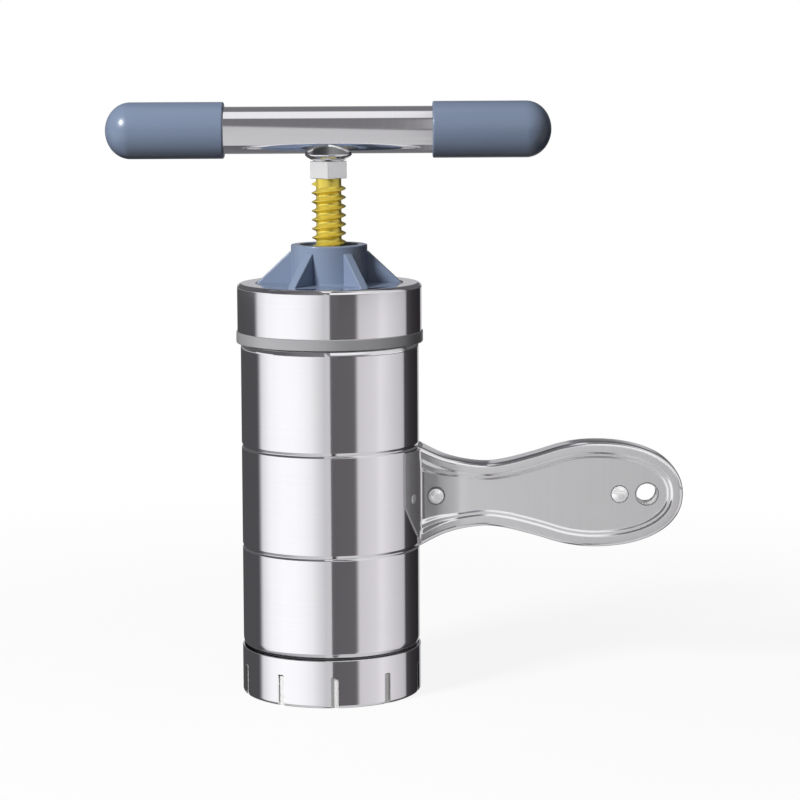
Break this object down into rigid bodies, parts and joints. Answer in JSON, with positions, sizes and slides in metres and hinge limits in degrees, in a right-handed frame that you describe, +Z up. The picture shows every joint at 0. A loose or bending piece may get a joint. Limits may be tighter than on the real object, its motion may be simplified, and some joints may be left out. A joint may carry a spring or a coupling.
{
  "type": "pasta extruder with crank",
  "caption": "Hand-cranked pasta press: steel barrel, slotted collar with noodle die, ribbed screw-on lid, T-handled spindle with press plate, and a riveted side handle.",
  "frame": {"origin": "on the barrel's axis, in the plane of the die's underside and the collar's foot", "axes": "+Z up along the barrel to the T-handle, +X from the barrel towards the side handle, front at -Y"},
  "size_m": [0.1937, 0.0628, 0.1998],
  "materials": {
    "polished_steel": "polished stainless sheet",
    "satin_steel": "satin stamped sheet with a faint vertical grain",
    "bright_steel": "bright plated",
    "matte_metal": "matte rolled ring",
    "plain_steel": "plain turned",
    "zinc_yellow": "yellow zinc plated",
    "blue_plastic": "moulded, semi-gloss",
    "white_plastic": "moulded, food-safe white",
    "seal_silicone": "silicone",
    "seal_rubber": "matte",
    "bronze": "sintered bronze"
  },
  "bodies": {
    "barrel": {"barrel_tube": "polished_steel", "handle_front_shell": "satin_steel", "handle_back_shell": "satin_steel", "root_rivet": "bright_steel", "tip_rivet": "bright_steel", "spot_welds": "plain_steel"},
    "seal": {"lid_gasket": "seal_silicone"},
    "lid": {"lid_cap": "blue_plastic", "lid_sleeve": "polished_steel", "lid_rim_ring": "matte_metal", "drive_nut": "plain_steel"},
    "press": {"press_plate": "white_plastic", "seal_ring": "seal_rubber", "thrust_washer": "bronze"},
    "crank": {"screw_rod": "zinc_yellow", "foot_bolt": "plain_steel", "neck_block": "bright_steel", "saddle_washer": "bright_steel", "tube_nut": "plain_steel", "handle_tube": "polished_steel", "left_grip": "blue_plastic", "right_grip": "blue_plastic"},
    "die": {"die": "white_plastic"},
    "collar": {"collar": "polished_steel"}
  },
  "joints": [
    {"name": "lid_lift", "type": "slide", "parent": "barrel", "child": "seal", "axis": [0, 0, 1], "range_m": [0, 0.0105]},
    {"name": "lid_turn", "type": "hinge", "parent": "seal", "child": "lid", "pos_m": [0, 0, 0], "axis": [0, 0, 1], "range_deg": [0, 1260]},
    {"name": "press_travel", "type": "slide", "parent": "lid", "child": "press", "axis": [0, 0, -1], "range_m": [-0.0845, 0.022]},
    {"name": "crank_turn", "type": "hinge", "parent": "press", "child": "crank", "pos_m": [0, 0, 0], "axis": [0, 0, -1], "range_deg": [-10140, 2640]},
    {"name": "die_drop", "type": "slide", "parent": "barrel", "child": "die", "axis": [0, 0, -1], "range_m": [0, 0.0048]},
    {"name": "collar_turn", "type": "hinge", "parent": "die", "child": "collar", "pos_m": [0, 0, 0], "axis": [0, 0, -1], "range_deg": [0, 576]}
  ],
  "couplings": [
    {"joint": "lid_lift", "follows": "lid_turn", "m_per_rad": 0.00047746},
    {"joint": "press_travel", "follows": "crank_turn", "m_per_rad": 0.00047746},
    {"joint": "die_drop", "follows": "collar_turn", "m_per_rad": 0.00047746}
  ]
}
